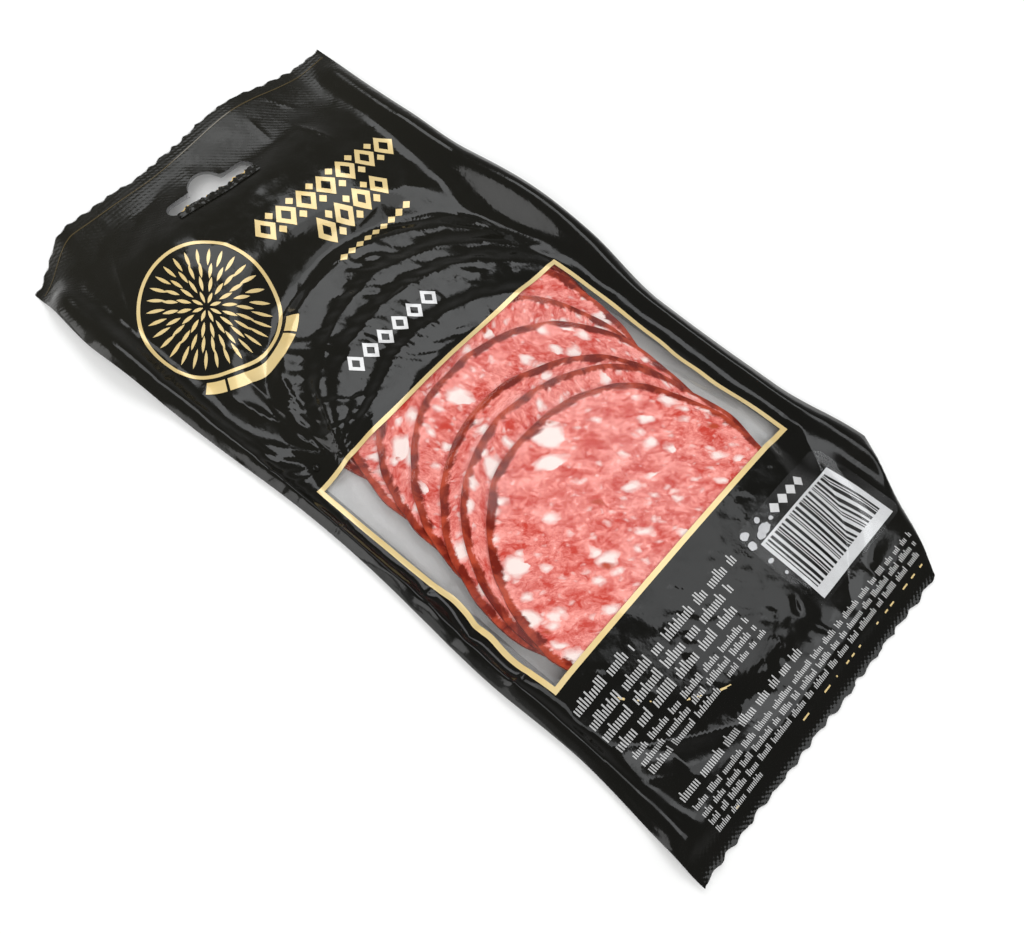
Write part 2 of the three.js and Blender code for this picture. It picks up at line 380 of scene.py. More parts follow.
def pouch(x, y, front):
    """Where a point of the flat pouch lies: on the front film's outside, or on the back film's."""
    x = np.asarray(x, float)
    y = np.asarray(y, float)
    right_pull = 1.2 * bell(y - 45, 40) - 2.8 * smooth(10, -20, y) * smooth(-88, -60, y)
    across = x + bells(y, LEFT_SIDE_PULL) * smooth(-51, -HALF_WIDTH, x)
    across = across + right_pull * smooth(49, HALF_WIDTH, x)
    across = across + bells(y, RIGHT_LINE_PULL) * smooth(36, 45, x) * smooth(55, 48, x)
    across = across + bells(y, LEFT_LINE_PULL) * smooth(-38, -47, x) * smooth(-58, -51, x)
    along = y - 5 * droop(x, y) + bells(x, HANG_END_WAVES) * smooth(106, HALF_LENGTH, y)

    base = lift(across, y) + 0.05
    puff = 2.1 * bell(HALF_WIDTH - np.abs(x) - 4.2, 3.6) * smooth(121, 110, np.abs(y))
    sealed = smooth(122, 117, y) * smooth(-120.5, -115, y)
    under_label = smooth(4, 14, across) * smooth(-80, -92, y)
    pile = stack(across, y, len(SLICES), FILM_FALL + 7 * under_label) * sealed
    meat = stack(across, y, len(SLICES), MEAT_FALL, MEAT_PITCH) * sealed
    hollow = np.maximum(pile, gas(across, y)) + GAP + puff + wrinkles(across, y)
    hollow = np.maximum(hollow, meat + 0.38)
    edge = np.minimum(HALF_WIDTH - np.abs(x), inside_fold(x, y))
    rounding = np.sqrt(1 - (1 - np.clip(edge / SIDE_ROUND, 0, 1)) ** 2)
    middle = base + 0.42 * hollow * (1 - smooth(0, 9, edge))
    if front:
        height = middle + (base + hollow - middle) * rounding
    else:
        height = middle - (middle - base) * rounding
    return np.stack([across, along, height], axis=-1)


def pouch_normal(x, y, front):
    """Outward direction of the film at each point, from its slopes."""
    step = 0.3
    inside = np.clip(x, step - HALF_WIDTH, HALF_WIDTH - step)
    over_x = pouch(inside + step, y, front) - pouch(inside - step, y, front)
    over_y = pouch(x, y + step, front) - pouch(x, y - step, front)
    normal = np.cross(over_x, over_y)
    normal = normal / np.linalg.norm(normal, axis=-1, keepdims=True)
    return normal if front else -normal


# ---- modelling helpers --------------------------------------------------------------------------


def finish_piece(piece, material, node=PACK_NODE):
    """Gives a piece its material and its body, and hides the node that it stands for."""
    piece.data.materials.clear()
    piece.data.materials.append(material)
    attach(piece, BODY)
    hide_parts(node)


def take_new(name, stretch=(1, 1, 1)):
    """Names the primitive just added, stretches it and applies its place and size."""
    piece = bpy.context.object
    piece.name = name
    piece.data.name = name
    piece.scale = stretch
    bpy.ops.object.transform_apply(location=True, rotation=True, scale=True)
    return piece


def select_only(piece):
    bpy.ops.object.select_all(action="DESELECT")
    piece.select_set(True)
    bpy.context.view_layer.objects.active = piece


def add_sheet(name, left, right, low, high, columns, rows):
    """A flat rectangle of film, with that many cells each way."""
    bpy.ops.object.select_all(action="DESELECT")
    bpy.ops.mesh.primitive_grid_add(
        x_subdivisions=columns, y_subdivisions=rows, size=1,
        location=((left + right) / 2 * MM, (low + high) / 2 * MM, 0),
    )
    return take_new(name, ((right - left) * MM, (high - low) * MM, 1))


def points_of(piece):
    """The piece's vertices in millimetres."""
    places = np.empty(len(piece.data.vertices) * 3)
    piece.data.vertices.foreach_get("co", places)
    return places.reshape(-1, 3) / MM


def move_points(piece, places):
    piece.data.vertices.foreach_set("co", (places * MM).ravel())
    piece.data.update()


def centres_of(piece):
    """The middles of the piece's faces in millimetres."""
    middles = np.empty(len(piece.data.polygons) * 3)
    piece.data.polygons.foreach_get("center", middles)
    return middles.reshape(-1, 3) / MM


def select_faces(piece, chosen):
    """Selects those faces and nothing else, in object mode."""
    piece.data.vertices.foreach_set("select", np.zeros(len(piece.data.vertices), bool))
    piece.data.edges.foreach_set("select", np.zeros(len(piece.data.edges), bool))
    piece.data.polygons.foreach_set("select", np.asarray(chosen, bool))


def edit(piece, *actions, chosen=None):
    """Runs mesh operators on a piece or its chosen faces. Each action is an operator and its settings."""
    select_only(piece)
    if chosen is not None:
        select_faces(piece, chosen)
    bpy.ops.object.mode_set(mode="EDIT")
    bpy.ops.mesh.select_mode(type="FACE")
    if chosen is None:
        bpy.ops.mesh.select_all(action="SELECT")
    for operator, settings in actions:
        operator(**settings)
    bpy.ops.object.mode_set(mode="OBJECT")


def delete_faces(piece, chosen):
    edit(piece, (bpy.ops.mesh.delete, {"type": "FACE"}), chosen=chosen)


def part_off(piece, chosen, name):
    """Separates the chosen faces into a piece of their own."""
    before = set(bpy.data.objects)
    edit(piece, (bpy.ops.mesh.separate, {"type": "SELECTED"}), chosen=chosen)
    (parted,) = set(bpy.data.objects) - before
    parted.name = name
    parted.data.name = name
    return parted


def bisect(piece, place, normal, clear=False):
    """Cuts a flat sheet along a line, and drops what lies beyond it if clear."""
    plane = {"plane_co": (place[0] * MM, place[1] * MM, 0), "plane_no": (normal[0], normal[1], 0)}
    edit(piece, (bpy.ops.mesh.bisect, {**plane, "clear_outer": clear, "threshold": 0.001 * MM}))


def apply_modifier(piece, kind, **settings):
    select_only(piece)
    modifier = piece.modifiers.new(kind.title(), kind)
    for name, value in settings.items():
        setattr(modifier, name, value)
    bpy.ops.object.modifier_apply(modifier=modifier.name)


def thicken(piece, thickness):
    """Gives a flat sheet its thickness, below its upper face."""
    apply_modifier(piece, "SOLIDIFY", thickness=thickness, offset=-1.0, use_even_offset=False)


def merge_points(piece):
    """Merges points that lie together, such as a ring's two ends, and evens out the normals."""
    merge = (bpy.ops.mesh.remove_doubles, {"threshold": 0.01 * MM})
    edit(piece, merge, (bpy.ops.mesh.normals_make_consistent, {"inside": False}))


def join(pieces, name):
    bpy.ops.object.select_all(action="DESELECT")
    for piece in pieces:
        piece.select_set(True)
    bpy.context.view_layer.objects.active = pieces[0]
    bpy.ops.object.join()
    pieces[0].name = name
    pieces[0].data.name = name
    return pieces[0]


def notches(x, pitch, depth, seed):
    """How far the cut end lies inside the pouch's length: scallops with torn teeth."""
    scallops = depth * (0.5 - 0.5 * np.cos(2 * math.pi * x / pitch + 0.9 * ripple(x, 0 * x, 14, seed)))
    torn = 0.36 * (1 + ripple(x, 0 * x, 1.1, seed + 1)) + 0.3 * (1 + ripple(x, 0 * x, 5, seed + 2))
    return scallops + torn


def cut_ends(places, inset):
    """Draws the last millimetres of both ends to the uneven cut. The hang end is inset further."""
    x = places[:, 0]
    y = places[:, 1]
    hang = (notches(x, 5.0, 0.6, 21) - 1.1 + inset) * smooth(HALF_LENGTH - 4, HALF_LENGTH, y)
    far = (notches(x, 6.0, 0.6, 31) - 1.3) * smooth(4 - HALF_LENGTH, -HALF_LENGTH, y)
    places[:, 1] = y - hang + far
    return places


def lay(piece, above=0.0, front=True, like_film=True):
    """Bends a flat piece onto the pouch. Its flat height becomes its height over the film."""
    flat = points_of(piece)
    normal = pouch_normal(flat[:, 0], flat[:, 1], front)
    side = 1 if front else -1
    out = normal * (above + side * flat[:, 2:3])
    move_points(piece, pouch(flat[:, 0], flat[:, 1], front) + out)
    select_only(piece)
    if not like_film:
        bpy.ops.object.shade_smooth_by_angle(angle=math.radians(35))
        return
    bpy.ops.object.shade_smooth()
    middle = (flat[:, 2].min() + flat[:, 2].max()) / 2
    facing = np.where(flat[:, 2:3] > middle, 1.0, -1.0)
    piece.data.normals_split_custom_set_from_vertices(normal * facing * side)


# ---- materials ----------------------------------------------------------------------------------


def linear(hex_colour):
    """Linear RGBA of an sRGB hex colour."""
    channels = [int(hex_colour[k : k + 2], 16) / 255 for k in (1, 3, 5)]
    bright = [c / 12.92 if c <= 0.04045 else ((c + 0.055) / 1.055) ** 2.4 for c in channels]
    return (*bright, 1.0)


def new_material(name):
    """An empty node material and its node tree."""
    material = bpy.data.materials.new(name)
    material.use_nodes = True
    material.node_tree.nodes.clear()
    return material, material.node_tree


def add_node(tree, kind, inputs=None, **settings):
    """Adds a node with its options as settings. An input is a value, a socket or a node's first output."""
    node = tree.nodes.new("ShaderNode" + kind)
    for option, value in settings.items():
        setattr(node, option, value)
    for socket, value in (inputs or {}).items():
        if isinstance(value, bpy.types.Node):
            value = value.outputs[0]
        if isinstance(value, bpy.types.NodeSocket):
            tree.links.new(value, node.inputs[socket])
        else:
            node.inputs[socket].default_value = value
    return node


def film_relief(tree, place):
    """Bump of the film: fine crinkles, the crimped seal's dots and the hang end's pressed ridges.

    Real crimp lines are nearer 0.8 mm apart, which is too fine to show, so these are coarser.
    """
    crinkle = add_node(tree, "TexNoise", {"Vector": place, "Scale": 1 / (2.4 * MM), "Detail": 2.0})
    split = add_node(tree, "SeparateXYZ", {"Vector": place})
    waves = []
    for direction_x, direction_y, pitch in ((1, 0, 1.5), (0, 1, 1.3), (0.64, 0.77, 1.05)):
        turns = 2 * math.pi / (pitch * MM)
        across = (direction_x * turns, direction_y * turns, 0)
        run = add_node(tree, "VectorMath", {0: place, 1: across}, operation="DOT_PRODUCT")
        waves.append(add_node(tree, "Math", {0: run.outputs["Value"]}, operation="SINE"))
    columns, rows, ridges = waves
    dots = add_node(tree, "Math", {0: columns, 1: rows}, operation="MULTIPLY")
    relief = 0
    # Each pattern with its strength, and the y between which it fades in.
    for pattern, strength, start, end in (
        (dots, 1.0, -119.2, -119.8),
        (rows, 0.5, 111, 113),
        (ridges, 0.4, 96, 104),
    ):
        share = add_node(
            tree, "MapRange",
            {
                "Value": split.outputs["Y"], "From Min": start * MM, "From Max": end * MM,
                "To Max": strength,
            },
        )
        relief = add_node(tree, "Math", {0: pattern, 1: share, 2: relief}, operation="MULTIPLY_ADD")
    coarse = add_node(tree, "Bump", {"Height": relief, "Distance": 0.02 * MM, "Strength": 1.0})
    return add_node(
        tree, "Bump", {"Height": crinkle, "Distance": 0.07 * MM, "Strength": 1.0, "Normal": coarse}
    )


def black_film_material():
    """Polypropylene film printed black on its inside: a deep black under a wet gloss, painted lighter and
    olive towards the hang end in place of the soft light that the film shows there.
    """
    material, tree = new_material("black_printed_polypropylene")
    place = add_node(tree, "TexCoord").outputs["Object"]
    relief = film_relief(tree, place)
    cloud = add_node(tree, "TexNoise", {"Vector": place, "Scale": 1 / (45 * MM), "Detail": 3.0})
    split = add_node(tree, "SeparateXYZ", {"Vector": place})
    # Painted light: a ramp mixes in the lighter olive black towards the hang end, in place of the soft
    # light there. The cloud adds random tone.
    glow_to_hang_end = add_node(
        tree, "MapRange",
        {"Value": split.outputs["Y"], "From Min": -10 * MM, "From Max": 125 * MM, "To Max": 0.75},
    )
    glow_share = add_node(tree, "Math", {0: cloud, 1: 0.5, 2: glow_to_hang_end}, operation="MULTIPLY_ADD")
    tint = add_node(
        tree, "Mix", {"Factor": glow_share, 6: linear(colours().black_ink), 7: linear(colours().glow_black_ink)},
        data_type="RGBA",
    )
    smear = add_node(
        tree, "TexNoise",
        {"Vector": place, "Scale": 1 / (7 * MM), "Detail": 5.0, "Roughness": 0.65, "Distortion": 0.6},
    )
    gloss = add_node(
        tree, "MapRange",
        {"Value": smear, "From Min": 0.35, "From Max": 0.65, "To Min": 0.05, "To Max": 0.2},
    )
    matte = add_node(
        tree, "MapRange",
        {"Value": split.outputs["Y"], "From Min": 90 * MM, "From Max": 108 * MM, "To Max": 0.13},
    )
    roughness = add_node(tree, "Math", {0: gloss, 1: matte}, operation="ADD")
    shader = add_node(
        tree, "BsdfPrincipled",
        {"Base Color": tint.outputs[2], "Roughness": roughness, "IOR": 1.5, "Normal": relief},
    )
    add_node(tree, "OutputMaterial", {"Surface": shader})
    return material


def clear_film_material(name, haze_share, shine, crimped=False, clearness=0.97):
    """Clear polypropylene film: seen through, with its gloss and a little grease haze."""
    material, tree = new_material(name)
    place = add_node(tree, "TexCoord").outputs["Object"]
    relief = film_relief(tree, place) if crimped else add_node(tree, "Bump")
    facing = add_node(tree, "LayerWeight", {"Blend": 0.5, "Normal": relief})
    # Gloss rises at grazing angles as a clear film's does.
    graze = add_node(tree, "Math", {0: facing.outputs["Facing"], 1: 5.0}, operation="POWER")
    edge = add_node(tree, "Math", {0: graze, 1: 0.45, 2: shine}, operation="MULTIPLY_ADD")
    tone = (clearness, clearness, clearness, 1)
    clear = add_node(tree, "BsdfTransparent", {"Color": tone})
    gloss = add_node(tree, "BsdfGlossy", {"Roughness": 0.06, "Normal": relief})
    film = add_node(tree, "MixShader", {"Fac": edge, 1: clear, 2: gloss})
    patches = add_node(tree, "TexNoise", {"Vector": place, "Scale": 1 / (16 * MM), "Detail": 2.0})
    share = add_node(
        tree, "MapRange", {"Value": patches, "From Min": 0.42, "From Max": 0.7, "To Max": haze_share}
    )
    haze = add_node(tree, "BsdfDiffuse", {"Color": (0.85, 0.85, 0.86, 1)})
    mixed = add_node(tree, "MixShader", {"Fac": share, 1: film, 2: haze})
    add_node(tree, "OutputMaterial", {"Surface": mixed})
    return material


def gold_ink_material():
    """Gold ink under gloss film: warm and a little metallic, so darker where it turns away, with painted
    shade: a darker copy of the gold mixed in in random cloudy patches.
    """
    material, tree = new_material("gold_ink_under_film")
    place = add_node(tree, "TexCoord").outputs["Object"]
    cloud = add_node(tree, "TexNoise", {"Vector": place, "Scale": 1 / (9 * MM), "Detail": 2.0})
    # Painted shade: the shaded copy of the gold is mixed in where the cloud noise is high.
    tint = add_node(
        tree, "Mix", {"Factor": cloud, 6: linear(colours().gold_ink), 7: linear(colours().gold_shade)},
        data_type="RGBA",
    )
    shader = add_node(
        tree, "BsdfPrincipled",
        {
            "Base Color": tint.outputs[2], "Metallic": 0.25, "Roughness": 0.3, "Coat Weight": 1.0,
            "Coat Roughness": 0.06,
        },
    )
    add_node(tree, "OutputMaterial", {"Surface": shader})
    return material


def flat_ink_material(name, hex_colour):
    """Opaque ink under gloss film: an even colour with slight mottling from the print rollers."""
    material, tree = new_material(name)
    place = add_node(tree, "TexCoord").outputs["Object"]
    mottle = add_node(tree, "TexNoise", {"Vector": place, "Scale": 1 / (3 * MM), "Detail": 3.0})
    value = add_node(
        tree, "MapRange",
        {"Value": mottle, "From Min": 0.2, "From Max": 0.8, "To Min": 0.9, "To Max": 1.05},
    )
    tint = add_node(tree, "HueSaturation", {"Color": linear(hex_colour), "Value": value})
    shader = add_node(
        tree, "BsdfPrincipled",
        {"Base Color": tint, "Roughness": 0.3, "Coat Weight": 1.0, "Coat Roughness": 0.06},
    )
    add_node(tree, "OutputMaterial", {"Surface": shader})
    return material


def fat_mask(tree, place, size, least, most, soft):
    """Uneven blobs, one in each cell of that size, of differing radius. A minus radius leaves none."""
    cells = add_node(tree, "TexVoronoi", {"Vector": place, "Scale": 1 / size}, voronoi_dimensions="2D")
    pick = add_node(tree, "SeparateColor", {"Color": cells.outputs["Color"]})
    radius = add_node(tree, "MapRange", {"Value": pick, "To Min": least, "To Max": most}, clamp=False)
    depth = add_node(tree, "Math", {0: radius, 1: cells.outputs["Distance"]}, operation="SUBTRACT")
    return add_node(tree, "MapRange", {"Value": depth, "From Min": 0.0, "From Max": soft})


def salami_material():
    """Sliced cured sausage: minced lean meat with pale fat, moist, with a dried rim."""
    material, tree = new_material("sliced_cured_sausage")
    own = add_node(tree, "UVMap", uv_map="slice")
    # The slice's own map counts 100 mm as 1. Here it turns to mm, with the mince drawn out along one way.
    place = add_node(tree, "Mapping", {"Vector": own, "Scale": (76, 112, 100)})
    warp = add_node(tree, "TexNoise", {"Vector": place, "Scale": 1 / 3.6, "Detail": 5.0})
    centred = add_node(
        tree, "VectorMath", {0: warp.outputs["Color"], 1: (0.5, 0.5, 0.5)}, operation="SUBTRACT"
    )
    bent = add_node(tree, "VectorMath", {0: centred, "Scale": 4.2}, operation="SCALE")
    warped = add_node(tree, "VectorMath", {0: place, 1: bent}, operation="ADD")

    # Fat lies in pieces of about these sizes in mm, and red specks are further apart.
    large = fat_mask(tree, warped, 9.0, -0.45, 0.44, 0.18)
    medium = fat_mask(tree, warped, 4.6, -0.3, 0.48, 0.3)
    small = fat_mask(tree, warped, 2.3, -0.5, 0.46, 0.4)
    speck = fat_mask(tree, warped, 6.5, -2.0, 0.25, 0.15)
    grain = add_node(tree, "TexNoise", {"Vector": warped, "Scale": 1 / 5.0, "Detail": 6.0})
    fibre = add_node(
        tree, "TexNoise", {"Vector": warped, "Scale": 1 / 1.4, "Detail": 5.0, "Roughness": 0.7}
    )
    mince = add_node(tree, "Math", {0: grain, 1: fibre}, operation="ADD")
    tone = add_node(tree, "MapRange", {"Value": mince, "From Min": 0.82, "From Max": 1.2})
    most = add_node(tree, "Math", {0: large, 1: medium}, operation="MAXIMUM")
    weak = add_node(tree, "Math", {0: small, 1: 0.65}, operation="MULTIPLY")
    streaks = add_node(
        tree, "MapRange", {"Value": fibre, "From Min": 0.62, "From Max": 0.74, "To Max": 0.5}
    )
    flecks = add_node(tree, "Math", {0: streaks, 1: weak}, operation="MAXIMUM")
    fat = add_node(tree, "Math", {0: most, 1: flecks}, operation="MAXIMUM")
    rim = add_node(tree, "Attribute", attribute_name="rim")
    uneven = add_node(tree, "Math", {0: grain, 1: 4.0, 2: rim.outputs["Fac"]}, operation="MULTIPLY_ADD")
    ragged = add_node(tree, "Math", {0: fibre, 1: 2.0, 2: uneven}, operation="MULTIPLY_ADD")
    dried = add_node(tree, "MapRange", {"Value": ragged, "From Min": 5.4, "From Max": 4.7})
    reddish = add_node(tree, "MapRange", {"Value": grain, "From Min": 0.42, "From Max": 0.62})
    casing = add_node(
        tree, "Mix", {"Factor": reddish, 6: linear(colours().casing), 7: linear(colours().red_casing)},
        data_type="RGBA",
    )
    surface = linear(colours().lean)
    layers = (
        (tone, linear(colours().pale_lean)),
        (fat, linear(colours().fat)),
        (speck, linear(colours().red_casing)),
        (dried, casing.outputs[2]),
    )
    for share, colour in layers:
        mixed = add_node(tree, "Mix", {"Factor": share, 6: surface, 7: colour}, data_type="RGBA")
        surface = mixed.outputs[2]
    relief = add_node(tree, "Bump", {"Height": fibre, "Distance": 0.12 * MM, "Strength": 0.8})
    shader = add_node(
        tree, "BsdfPrincipled",
        {
            "Base Color": surface, "Roughness": 0.42, "IOR": 1.42, "Specular IOR Level": 0.12,
            "Normal": relief,
        },
    )
    add_node(tree, "OutputMaterial", {"Surface": shader})
    return material


def floor_material():
    """Matt painted studio board: an even pale grey with faint roller grain."""
    material, tree = new_material("matt_studio_board")
    place = add_node(tree, "TexCoord").outputs["Object"]
    grain = add_node(tree, "TexNoise", {"Vector": place, "Scale": 1 / (2 * MM), "Detail": 2.0})
    relief = add_node(tree, "Bump", {"Height": grain, "Distance": 0.02 * MM, "Strength": 0.3})
    shader = add_node(
        tree, "BsdfPrincipled",
        {"Base Color": linear(colours().floor), "Roughness": 0.9, "Normal": relief},
    )
    add_node(tree, "OutputMaterial", {"Surface": shader})
    return material


# ---- operators: the pieces ----------------------------------------------------------------------


def pouch_sheet(name, step):
    """The pouch's flat film, finer towards its sides, without the corner that is folded under."""
    columns = round(2 * HALF_WIDTH * MM / step)
    rows = round(2 * HALF_LENGTH * MM / step)
    sheet = add_sheet(name, -HALF_WIDTH, HALF_WIDTH, -HALF_LENGTH, HALF_LENGTH, columns, rows)
    places = points_of(sheet)
    share = places[:, 0] / HALF_WIDTH
    places[:, 0] = HALF_WIDTH * (1.06 * share - 0.06 * share**9)
    move_points(sheet, places)
    run = Vector((FOLD_LOW[0] - FOLD_HIGH[0], FOLD_LOW[1] - FOLD_HIGH[1], 0)).normalized()
    bisect(sheet, FOLD_LOW, (-run.y, run.x), clear=True)
    return sheet


def slot_distance(x, y):
    """Distance outside the hang hole's outline: a bar with round ends and a round hump."""
    radius = SLOT["wing"] / 2
    reach = SLOT["width"] / 2 - radius
    bar = np.hypot(np.maximum(np.abs(x - SLOT["x"]) - reach, 0), y - SLOT["low"] - radius) - radius
    hump = np.hypot(x - SLOT["x"], y - SLOT["hump_y"]) - SLOT["hump_radius"]
    return np.minimum(bar, np.maximum(hump, SLOT["low"] - y))


def cut_slot(sheet):
    """Punches the hang hole, and draws the cells round it to its outline."""
    middle = centres_of(sheet)
    delete_faces(sheet, slot_distance(middle[:, 0], middle[:, 1]) < 0)
    mesh = sheet.data
    edge_of_corner = np.empty(len(mesh.loops), dtype=np.int32)
    mesh.loops.foreach_get("edge_index", edge_of_corner)
    ends = np.empty(len(mesh.edges) * 2, dtype=np.int32)
    mesh.edges.foreach_get("vertices", ends)
    open_edges = np.bincount(edge_of_corner, minlength=len(mesh.edges)) == 1
    rim = np.unique(ends.reshape(-1, 2)[open_edges])
    places = points_of(sheet)
    near = rim[np.abs(slot_distance(places[rim, 0], places[rim, 1])) < 2]
    x = places[near, 0]
    y = places[near, 1]
    for _ in range(2):
        away = slot_distance(x, y)
        slope_x = (slot_distance(x + 0.05, y) - slot_distance(x - 0.05, y)) / 0.1
        slope_y = (slot_distance(x, y + 0.05) - slot_distance(x, y - 0.05)) / 0.1
        x = x - away * slope_x
        y = y - away * slope_y
    places[near, 0] = x
    places[near, 1] = y
    move_points(sheet, places)


class PACK_OT_front(bpy.types.Operator):
    """Front film: the black print, the gold line and the clear window, cut from one sheet"""

    bl_idname = "salami_pack.front"
    bl_label = "Front film"

    def execute(self, context):
        sheet = pouch_sheet("front_film", sizes().front_step)
        line = sizes().frame_line / MM
        for x in (WINDOW["left"], WINDOW["left"] + line, WINDOW["right"] - line, WINDOW["right"]):
            bisect(sheet, (x, 0), (1, 0))
        for y in (WINDOW["low"], WINDOW["low"] + line, WINDOW["high"] - line, WINDOW["high"]):
            bisect(sheet, (0, y), (0, 1))
        window = part_off(sheet, inside_window(centres_of(sheet), line), "window_film")
        gold = part_off(sheet, inside_window(centres_of(sheet), 0), "gold_frame")
        cut_slot(sheet)
        for piece in (sheet, window, gold):
            thicken(piece, sizes().film)
        move_points(sheet, cut_ends(points_of(sheet), 0.5))
        for piece in (sheet, window, gold):
            lay(piece)
        finish_piece(sheet, black_film_material())
        clear = clear_film_material("clear_window_polypropylene", 0.02, 0.012)
        finish_piece(window, clear)
        finish_piece(gold, gold_ink_material())
        return {"FINISHED"}


def inside_window(places, inset):
    """Which points lie inside the window, drawn in by that much."""
    return (
        (places[:, 0] > WINDOW["left"] + inset)
        & (places[:, 0] < WINDOW["right"] - inset)
        & (places[:, 1] > WINDOW["low"] + inset)
        & (places[:, 1] < WINDOW["high"] - inset)
    )


class PACK_OT_back(bpy.types.Operator):
    """Back film: one clear sheet under the slices"""

    bl_idname = "salami_pack.back"
    bl_label = "Back film"

    def execute(self, context):
        sheet = pouch_sheet("back_film", sizes().back_step)
        cut_slot(sheet)
        thicken(sheet, sizes().film)
        move_points(sheet, cut_ends(points_of(sheet), 0.0))
        lay(sheet, front=False)
        # Painted shade: the back film passes only 0.77 of the light at each face, so the floor seen
        # through it under the pack reads darker, as if shaded.
        clear = clear_film_material("clear_back_polypropylene", 0.1, 0.03, True, 0.77)
        finish_piece(sheet, clear)
        return {"FINISHED"}


class PACK_OT_slices(bpy.types.Operator):
    """Slices: eight round slices, each resting on those below it"""

    bl_idname = "salami_pack.slices"
    bl_label = "Salami slices"

    def execute(self, context):
        material = salami_material()
        for order, (centre_x, centre_y, radius) in enumerate(SLICES):
            piece = add_sheet(f"slice_{order + 1}", -radius, radius, -radius, radius, 84, 84)
            places = points_of(piece)
            x = places[:, 0]
            y = places[:, 1]
            # The square sheet is drawn in to a disc, so its rim has no jagged cells.
            square = np.maximum(np.abs(x), np.abs(y))
            round_share = square / np.maximum(np.hypot(x, y), 1e-6)
            angle = np.arctan2(y, x)
            turn_x = 14 * np.cos(angle)
            turn_y = 14 * np.sin(angle)
            wobble = 1 - 0.013 * (1 + ripple(turn_x, turn_y, 5.0, 40 + order))
            wobble = wobble - 0.007 * ripple(turn_x, turn_y, 1.7, 60 + order)
            flat = places[:, :2] * round_share[:, None] * wobble[:, None]
            places[:, :2] = flat
            move_points(piece, places)
            self.store_pattern(piece, flat, radius - square, order)
            thicken(piece, sizes().slice_thickness)
            self.rest(piece, order, centre_x, centre_y)
            finish_piece(piece, material)
        return {"FINISHED"}

    def store_pattern(self, piece, flat, from_rim, order):
        """Keeps each point's flat place, and its distance from the rim, for the meat's pattern."""
        mesh = piece.data
        while mesh.uv_layers:
            mesh.uv_layers.remove(mesh.uv_layers[0])
        layer = mesh.uv_layers.new(name="slice")
        corner = np.empty(len(mesh.loops), dtype=np.int32)
        mesh.loops.foreach_get("vertex_index", corner)
        turned = 1.9 * order
        u = flat[:, 0] * math.cos(turned) - flat[:, 1] * math.sin(turned)
        v = flat[:, 0] * math.sin(turned) + flat[:, 1] * math.cos(turned)
        pattern = np.stack([u / 100 + 1.3 * order, v / 100], axis=-1)
        layer.data.foreach_set("uv", pattern[corner].ravel())
        rim = mesh.attributes.new("rim", "FLOAT", "POINT")
        rim.data.foreach_set("value", from_rim)

    def rest(self, piece, order, centre_x, centre_y):
        """Lays a slice on the slices below it."""
        places = points_of(piece)
        x = places[:, 0] + centre_x
        y = places[:, 1] + centre_y
        thickness = sizes().slice_thickness / MM
        below = stack(x, y, order, MEAT_FALL, MEAT_PITCH)
        x = x - squeeze(x, y)
        z = lift(x, y) + 0.25 + below + thickness + places[:, 2]
        move_points(piece, np.stack([x, y, z], axis=-1))
        select_only(piece)
        bpy.ops.object.shade_smooth_by_angle(angle=math.radians(50))


class PACK_OT_torn_flap(bpy.types.Operator):
    """Torn film: the crumpled strip along the hang hole with painted glints on its torn edge, and two
    beads by the window
    """

    bl_idname = "salami_pack.torn_flap"
    bl_label = "Torn film and beads"

    def execute(self, context):
        black = bpy.data.materials["black_printed_polypropylene"]
        left = SLOT["x"] - SLOT["width"] / 2
        root = 2.2
        flap = add_sheet("torn_flap", left + 1.2, left + SLOT["width"] - 0.6, 0, 1, 120, 9)
        places = points_of(flap)
        x = places[:, 0]
        share = places[:, 1].copy()
        ragged = 0.5 + 0.7 * ripple(x, 0 * x, 0.9, 51) + 0.5 * ripple(x, 0 * x, 3.4, 52)
        ragged = ragged * smooth(left + 1, left + 5, x)
        places[:, 1] = SLOT["low"] - root + share * (root + ragged)
        places[:, 2] = 0.25 + (0.5 + 0.5 * ripple(x, 9 * share, 1.3, 53)) * 1.7 * share * (1.25 - share)
        move_points(flap, places)
        middle = centres_of(flap)
        top = share > 0.99
        reach = root + np.interp(middle[:, 0], x[top], ragged[top])
        # Painted glints: scattered faces along the torn top edge are parted off and given the gold shade
        # colour, in place of highlights.
        edge = middle[:, 1] > SLOT["low"] - root + 0.86 * reach
        bare = ripple(middle[:, 0], middle[:, 1], 0.8, 54) > 0.1
        glints = part_off(flap, edge & bare, "torn_edge_glints")
        for piece in (flap, glints):
            thicken(piece, sizes().film)
            lay(piece, above=0.1, like_film=False)
        finish_piece(flap, black)
        glint_ink = flat_ink_material("painted_glint_on_torn_edge", colours().gold_shade)
        finish_piece(glints, glint_ink)
        beads = []
        for place_x, place_y, radius in ((-45.1, 17.5, 1.15), (-38.7, 14.3, 1.05)):
            place = pouch(np.array([place_x]), np.array([place_y]), True)[0]
            bpy.ops.object.select_all(action="DESELECT")
            bpy.ops.mesh.primitive_uv_sphere_add(
                segments=24, ring_count=14, radius=radius * MM, location=Vector(place) * MM
            )
            beads.append(take_new("bead", (1.0, 1.0, 0.75)))
        pair = join(beads, "film_beads")
        bpy.ops.object.shade_smooth()
        finish_piece(pair, black)
        return {"FINISHED"}


# ---- operators: the print -----------------------------------------------------------------------


def thin_mark(piece, material, layer="ink", node=PACK_NODE):
    """Finishes a flat printed mark: gives it its ink thickness and lays it on the front film."""
    thicken(piece, sizes().ink)
    lay(piece, above=OVER_FILM[layer])
    finish_piece(piece, material, node)
    return piece


